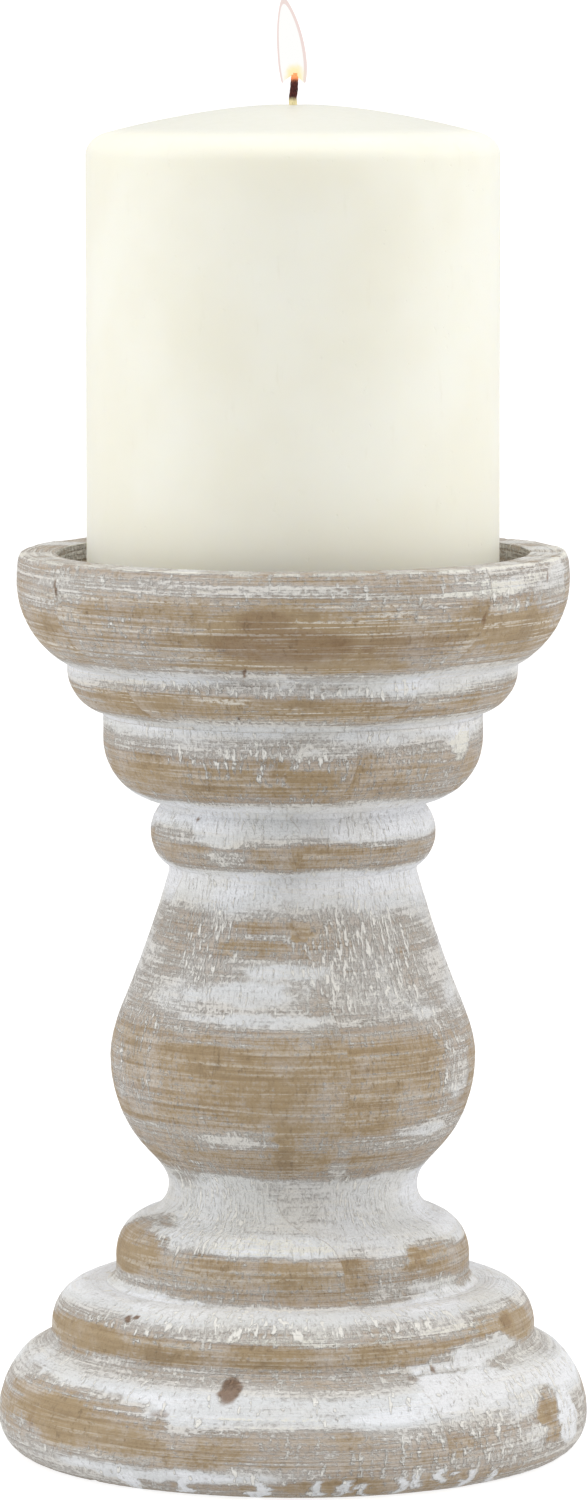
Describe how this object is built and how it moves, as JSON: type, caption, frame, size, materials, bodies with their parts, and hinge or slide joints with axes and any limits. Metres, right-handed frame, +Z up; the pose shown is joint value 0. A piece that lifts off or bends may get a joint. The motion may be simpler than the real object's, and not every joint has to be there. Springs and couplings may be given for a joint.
{
  "type": "wooden candlestick",
  "caption": "Turned, whitewashed wooden candlestick on a stepped round foot, with a wide shallow cup that holds one pillar candle, which lifts out.",
  "frame": {"origin": "bottom centre, on the underside of the felt disc", "axes": "+Z up along the turning axis; -Y is the front"},
  "size_m": [0.1008, 0.1008, 0.2345],
  "materials": {
    "base_wood": "brushed whitewash, worn to bare wood on the rolls",
    "stem_wood": "brushed whitewash, worn to bare wood on the rolls",
    "cup_wood": "brushed whitewash, worn to bare wood on the bowl",
    "screw_steel": "zinc plated",
    "felt": "short pile felt",
    "wax": "ivory wax, satin",
    "wick": "braided cotton, charred",
    "tab_steel": "tinned"
  },
  "bodies": {
    "candlestick": {"base_centre_board": "base_wood", "base_front_board": "base_wood", "base_rear_board": "base_wood", "stem_centre_board": "stem_wood", "stem_front_board": "stem_wood", "stem_rear_board": "stem_wood", "cup_centre_board": "cup_wood", "cup_front_board": "cup_wood", "cup_rear_board": "cup_wood", "base_screw": "screw_steel", "base_washer": "screw_steel", "cup_screw": "screw_steel", "felt_disc": "felt"},
    "candle": {"candle_wax": "wax", "candle_wick": "wick", "wick_tab": "tab_steel"}
  },
  "joints": [
    {"name": "candle_lift", "type": "slide", "parent": "candlestick", "child": "candle", "axis": [0, 0, 1], "range_m": [0, 0.06]}
  ]
}
